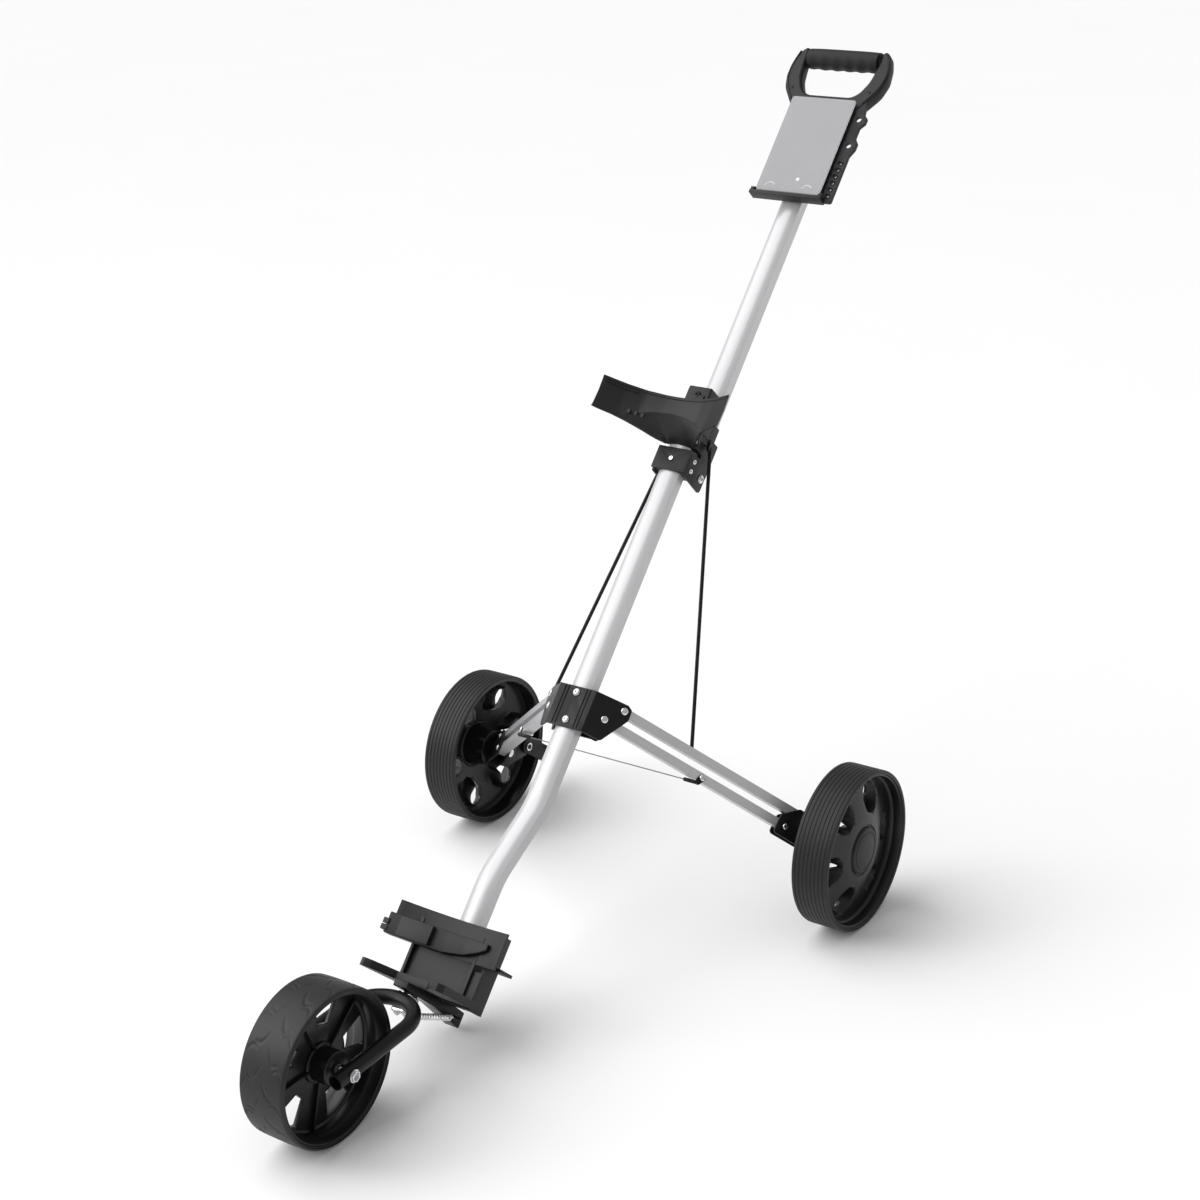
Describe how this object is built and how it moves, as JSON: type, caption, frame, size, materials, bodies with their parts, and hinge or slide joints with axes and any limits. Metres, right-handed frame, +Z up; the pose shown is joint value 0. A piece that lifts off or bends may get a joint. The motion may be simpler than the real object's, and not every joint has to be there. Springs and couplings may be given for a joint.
{
  "type": "golf push trolley",
  "caption": "Folding golf push trolley: leaning two-part tube, upper and lower bag supports, swept folding rear legs with wheels, front wheel on a fork, D-handle with scorecard holder.",
  "frame": {"origin": "on the ground, under the middle of the unfolded trolley's bounding box", "axes": "+Z up, -Y forward towards the front wheel, +X the right-hand side for someone pushing it"},
  "size_m": [0.65, 1.3712, 1.0262],
  "materials": {
    "tube_white": "smooth silver-white powder coat",
    "black_plastic": "fine moulded satin black",
    "black_steel": "satin black powder coat on steel",
    "satin_aluminium": "drawn satin aluminium",
    "zinc_steel": "bright zinc-plated steel",
    "chrome_bolt": "polished bolt heads",
    "tread_black": "dull black moulded tread",
    "rim_black": "satin-gloss black wheel moulding",
    "card_clear": "clear light grey acrylic",
    "grip_soft": "soft-touch black grip",
    "wire_rope": "fine twisted steel wire"
  },
  "bodies": {
    "frame": {"lower_tube": "tube_white", "lower_tube_plug": "black_plastic", "fold_collar": "black_plastic", "collar_screws": "chrome_bolt", "fold_pin": "chrome_bolt", "front_leg_plate": "black_steel", "rear_leg_plate": "black_steel", "plate_bolts": "chrome_bolt", "right_leg_pivots": "chrome_bolt", "left_leg_pivots": "chrome_bolt", "lower_bag_bracket": "black_plastic", "bracket_bolt": "chrome_bolt", "fork_mount": "black_steel", "right_spread_wire": "wire_rope", "left_spread_wire": "wire_rope", "fork_spring": "zinc_steel"},
    "handle": {"upper_tube": "tube_white", "hinge_yoke": "black_plastic", "yoke_bolts": "chrome_bolt", "upper_bag_cradle": "black_plastic", "cradle_bolt": "chrome_bolt", "handle_frame": "black_plastic", "handle_grip": "grip_soft", "scorecard_holder": "black_plastic", "stay_pins": "zinc_steel"},
    "cover": {"scorecard_cover": "card_clear"},
    "fork": {"fork_tube": "black_steel", "fork_lugs": "zinc_steel", "fork_pin": "chrome_bolt", "front_axle": "zinc_steel", "front_axle_spacers": "zinc_steel"},
    "front_wheel": {"front_tyre": "tread_black", "front_rim": "rim_black", "front_wheel_bush": "rim_black"},
    "brake": {"brake_pedal": "black_steel"},
    "right_upper_leg": {"right_upper_bar": "satin_aluminium"},
    "right_lower_leg": {"right_lower_bar": "satin_aluminium", "right_wire_anchor": "zinc_steel"},
    "right_wheel_carrier": {"right_wheel_bracket": "black_steel", "right_bracket_bolts": "chrome_bolt", "right_axle": "zinc_steel"},
    "right_stay": {"right_stay_rod": "black_steel"},
    "right_wheel": {"right_tyre": "tread_black", "right_rim": "rim_black", "right_hub_cap": "rim_black", "right_wheel_bush": "rim_black"},
    "left_upper_leg": {"left_upper_bar": "satin_aluminium"},
    "left_lower_leg": {"left_lower_bar": "satin_aluminium", "left_wire_anchor": "zinc_steel"},
    "left_wheel_carrier": {"left_wheel_bracket": "black_steel", "left_bracket_bolts": "chrome_bolt", "left_axle": "zinc_steel", "brake_plate": "black_steel", "brake_clip": "zinc_steel"},
    "left_stay": {"left_stay_rod": "black_steel"},
    "left_wheel": {"left_tyre": "tread_black", "left_rim": "rim_black", "left_hub_cap": "rim_black", "left_wheel_bush": "rim_black"}
  },
  "joints": [
    {"name": "handle_fold", "type": "hinge", "parent": "frame", "child": "handle", "pos_m": [0, 0.21894, 0.54114], "axis": [1, 0, 0], "range_deg": [-158, 0]},
    {"name": "right_leg_fold", "type": "hinge", "parent": "frame", "child": "right_upper_leg", "pos_m": [0.05128, -0.02353, 0.30829], "axis": [0.7302, -0.4831, 0.4831], "range_deg": [-70.01, 0]},
    {"name": "right_lower_leg_fold", "type": "hinge", "parent": "frame", "child": "right_lower_leg", "pos_m": [0.03721, -0.04866, 0.30443], "axis": [0.7302, -0.4831, 0.4831], "range_deg": [-70.01, 0], "deforming": ["right_spread_wire"]},
    {"name": "right_carrier_level", "type": "hinge", "parent": "right_upper_leg", "child": "right_wheel_carrier", "pos_m": [0.24138, 0.10048, 0.14501], "axis": [0.7302, -0.4831, 0.4831], "range_deg": [0, 70.01]},
    {"name": "right_stay_swing", "type": "hinge", "parent": "right_upper_leg", "child": "right_stay", "pos_m": [0.11986, 0.02936, 0.23995], "axis": [0.67, -0.5368, 0.5128], "range_deg": [0, 54.15]},
    {"name": "right_wheel_spin", "type": "hinge", "parent": "right_wheel_carrier", "child": "right_wheel", "pos_m": [0.303, 0.12337, 0.108], "axis": [1, 0, 0], "continuous": true},
    {"name": "left_leg_fold", "type": "hinge", "parent": "frame", "child": "left_upper_leg", "pos_m": [-0.05128, -0.02353, 0.30829], "axis": [0.7302, 0.4831, -0.4831], "range_deg": [-70.01, 0]},
    {"name": "left_lower_leg_fold", "type": "hinge", "parent": "frame", "child": "left_lower_leg", "pos_m": [-0.03721, -0.04866, 0.30443], "axis": [0.7302, 0.4831, -0.4831], "range_deg": [-70.01, 0], "deforming": ["left_spread_wire"]},
    {"name": "left_carrier_level", "type": "hinge", "parent": "left_upper_leg", "child": "left_wheel_carrier", "pos_m": [-0.24138, 0.10048, 0.14501], "axis": [0.7302, 0.4831, -0.4831], "range_deg": [0, 70.01]},
    {"name": "left_stay_swing", "type": "hinge", "parent": "left_upper_leg", "child": "left_stay", "pos_m": [-0.11986, 0.02936, 0.23995], "axis": [0.67, 0.5368, -0.5128], "range_deg": [0, 54.15]},
    {"name": "left_wheel_spin", "type": "hinge", "parent": "left_wheel_carrier", "child": "left_wheel", "pos_m": [-0.303, 0.12337, 0.108], "axis": [1, 0, 0], "continuous": true},
    {"name": "cover_hinge", "type": "hinge", "parent": "handle", "child": "cover", "pos_m": [0, 0.50093, 0.8616], "axis": [1, 0, 0], "range_deg": [0, 100]},
    {"name": "fork_fold", "type": "hinge", "parent": "frame", "child": "fork", "pos_m": [0, -0.42877, 0.08152], "axis": [1, 0, 0], "range_deg": [0, 90], "deforming": ["fork_spring"]},
    {"name": "front_wheel_spin", "type": "hinge", "parent": "fork", "child": "front_wheel", "pos_m": [0, -0.58963, 0.096], "axis": [1, 0, 0], "continuous": true},
    {"name": "brake_pedal_hinge", "type": "hinge", "parent": "left_wheel_carrier", "child": "brake", "pos_m": [-0.275, 0.18337, 0.088], "axis": [1, 0, 0], "range_deg": [-20, 0]}
  ],
  "couplings": [
    {"joint": "right_leg_fold", "follows": "handle_fold", "ratio": 0.44304},
    {"joint": "right_lower_leg_fold", "follows": "handle_fold", "ratio": 0.44304},
    {"joint": "right_carrier_level", "follows": "handle_fold", "ratio": -0.44304},
    {"joint": "right_stay_swing", "follows": "handle_fold", "ratio": -0.34266},
    {"joint": "left_leg_fold", "follows": "handle_fold", "ratio": 0.44304},
    {"joint": "left_lower_leg_fold", "follows": "handle_fold", "ratio": 0.44304},
    {"joint": "left_carrier_level", "follows": "handle_fold", "ratio": -0.44304},
    {"joint": "left_stay_swing", "follows": "handle_fold", "ratio": -0.34266}
  ]
}
